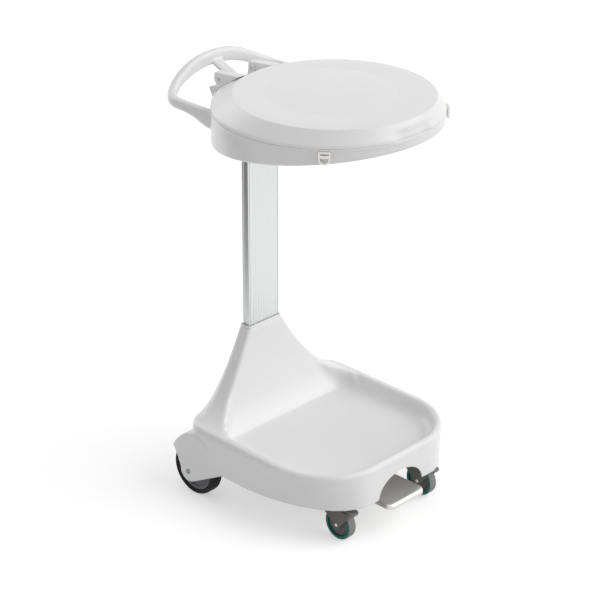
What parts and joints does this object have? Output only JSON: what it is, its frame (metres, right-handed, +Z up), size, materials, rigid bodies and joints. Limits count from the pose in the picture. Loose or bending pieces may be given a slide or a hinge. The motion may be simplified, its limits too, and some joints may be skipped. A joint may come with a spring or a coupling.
{
  "type": "linen trolley",
  "caption": "Hospital linen trolley: moulded tray base on wheels and castors, one column with a round bag ring, a pedal-lifted lid, bag clips and a push handle.",
  "frame": {"origin": "on the floor, under the middle of the trolley's width and length", "axes": "+Z up, +X to the right of the trolley's own front, the pedal side towards -Y and the push handle towards +Y"},
  "size_m": [0.5104, 0.6294, 0.9883],
  "materials": {
    "base_plastic": "satin white moulding",
    "ring_plastic": "satin white moulding",
    "lid_plastic": "satin white moulding",
    "aluminium": "natural anodised, fine lengthwise lines",
    "steel": "zinc plated",
    "pedal_steel": "satin stainless",
    "guide_plastic": "plain moulded",
    "tyre": "smooth rubber",
    "hub_plastic": "satin dark grey",
    "cap_plastic": "matt blue-grey",
    "castor_plastic": "matt dark grey",
    "castor_band": "matt teal",
    "castor_tread": "smooth grey"
  },
  "bodies": {
    "trolley": {"base_shell": "base_plastic", "column": "aluminium", "column_collar": "ring_plastic", "lower_rod_guide": "guide_plastic", "upper_rod_guide": "guide_plastic", "column_head": "aluminium", "bag_ring": "ring_plastic", "push_handle": "ring_plastic", "pedal_bracket": "steel", "pedal_axle": "steel", "left_hinge_lug": "ring_plastic", "right_hinge_lug": "ring_plastic", "left_hinge_pin": "steel", "right_hinge_pin": "steel", "left_front_bag_clip": "pedal_steel", "right_front_bag_clip": "pedal_steel", "left_rear_bag_clip": "pedal_steel", "right_rear_bag_clip": "pedal_steel", "left_rear_axle": "steel", "right_rear_axle": "steel", "left_axle_cap": "cap_plastic", "right_axle_cap": "cap_plastic", "left_castor_stem": "steel", "right_castor_stem": "steel"},
    "lid": {"lid": "lid_plastic", "lid_crank": "steel", "crank_roller": "guide_plastic"},
    "pedal": {"pedal_plate": "pedal_steel", "pedal_lever": "steel"},
    "push_rod": {"push_rod": "steel"},
    "left_castor": {"left_castor_fork": "castor_plastic", "left_castor_axle": "steel"},
    "left_castor_wheel": {"left_castor_hub": "castor_plastic", "left_castor_band": "castor_band", "left_castor_tread": "castor_tread"},
    "left_brake": {"left_castor_brake_lever": "castor_plastic"},
    "left_rear_wheel": {"left_rear_hub": "hub_plastic", "left_rear_tyre": "tyre"},
    "right_castor": {"right_castor_fork": "castor_plastic", "right_castor_axle": "steel"},
    "right_castor_wheel": {"right_castor_hub": "castor_plastic", "right_castor_band": "castor_band", "right_castor_tread": "castor_tread"},
    "right_brake": {"right_castor_brake_lever": "castor_plastic"},
    "right_rear_wheel": {"right_rear_hub": "hub_plastic", "right_rear_tyre": "tyre"}
  },
  "joints": [
    {"name": "lid_hinge", "type": "hinge", "parent": "trolley", "child": "lid", "pos_m": [0, 0.21725, 0.954], "axis": [-1, 0, 0], "range_deg": [0, 65]},
    {"name": "push_rod_lift", "type": "slide", "parent": "trolley", "child": "push_rod", "axis": [0, 0, 1], "range_m": [0, 0.063]},
    {"name": "pedal_pivot", "type": "hinge", "parent": "trolley", "child": "pedal", "pos_m": [0, -0.10275, 0.0697], "axis": [1, 0, 0], "range_deg": [0, 13.5]},
    {"name": "left_castor_swivel", "type": "hinge", "parent": "trolley", "child": "left_castor", "pos_m": [-0.136, -0.20775, 0.084], "axis": [0, 0, 1], "continuous": true},
    {"name": "left_castor_roll", "type": "hinge", "parent": "left_castor", "child": "left_castor_wheel", "pos_m": [-0.136, -0.23475, 0.0375], "axis": [1, 0, 0], "continuous": true},
    {"name": "left_brake_pivot", "type": "hinge", "parent": "left_castor", "child": "left_brake", "pos_m": [-0.136, -0.22525, 0.081], "axis": [1, 0, 0], "range_deg": [0, 14]},
    {"name": "left_rear_wheel_spin", "type": "hinge", "parent": "trolley", "child": "left_rear_wheel", "pos_m": [-0.22, 0.14025, 0.064], "axis": [1, 0, 0], "continuous": true},
    {"name": "right_castor_swivel", "type": "hinge", "parent": "trolley", "child": "right_castor", "pos_m": [0.136, -0.20775, 0.084], "axis": [0, 0, 1], "continuous": true},
    {"name": "right_castor_roll", "type": "hinge", "parent": "right_castor", "child": "right_castor_wheel", "pos_m": [0.136, -0.23475, 0.0375], "axis": [1, 0, 0], "continuous": true},
    {"name": "right_brake_pivot", "type": "hinge", "parent": "right_castor", "child": "right_brake", "pos_m": [0.136, -0.22525, 0.081], "axis": [1, 0, 0], "range_deg": [0, 14]},
    {"name": "right_rear_wheel_spin", "type": "hinge", "parent": "trolley", "child": "right_rear_wheel", "pos_m": [0.22, 0.14025, 0.064], "axis": [1, 0, 0], "continuous": true}
  ],
  "couplings": [
    {"joint": "push_rod_lift", "follows": "lid_hinge", "m_per_rad": 0.055},
    {"joint": "pedal_pivot", "follows": "lid_hinge", "ratio": 0.2075}
  ]
}
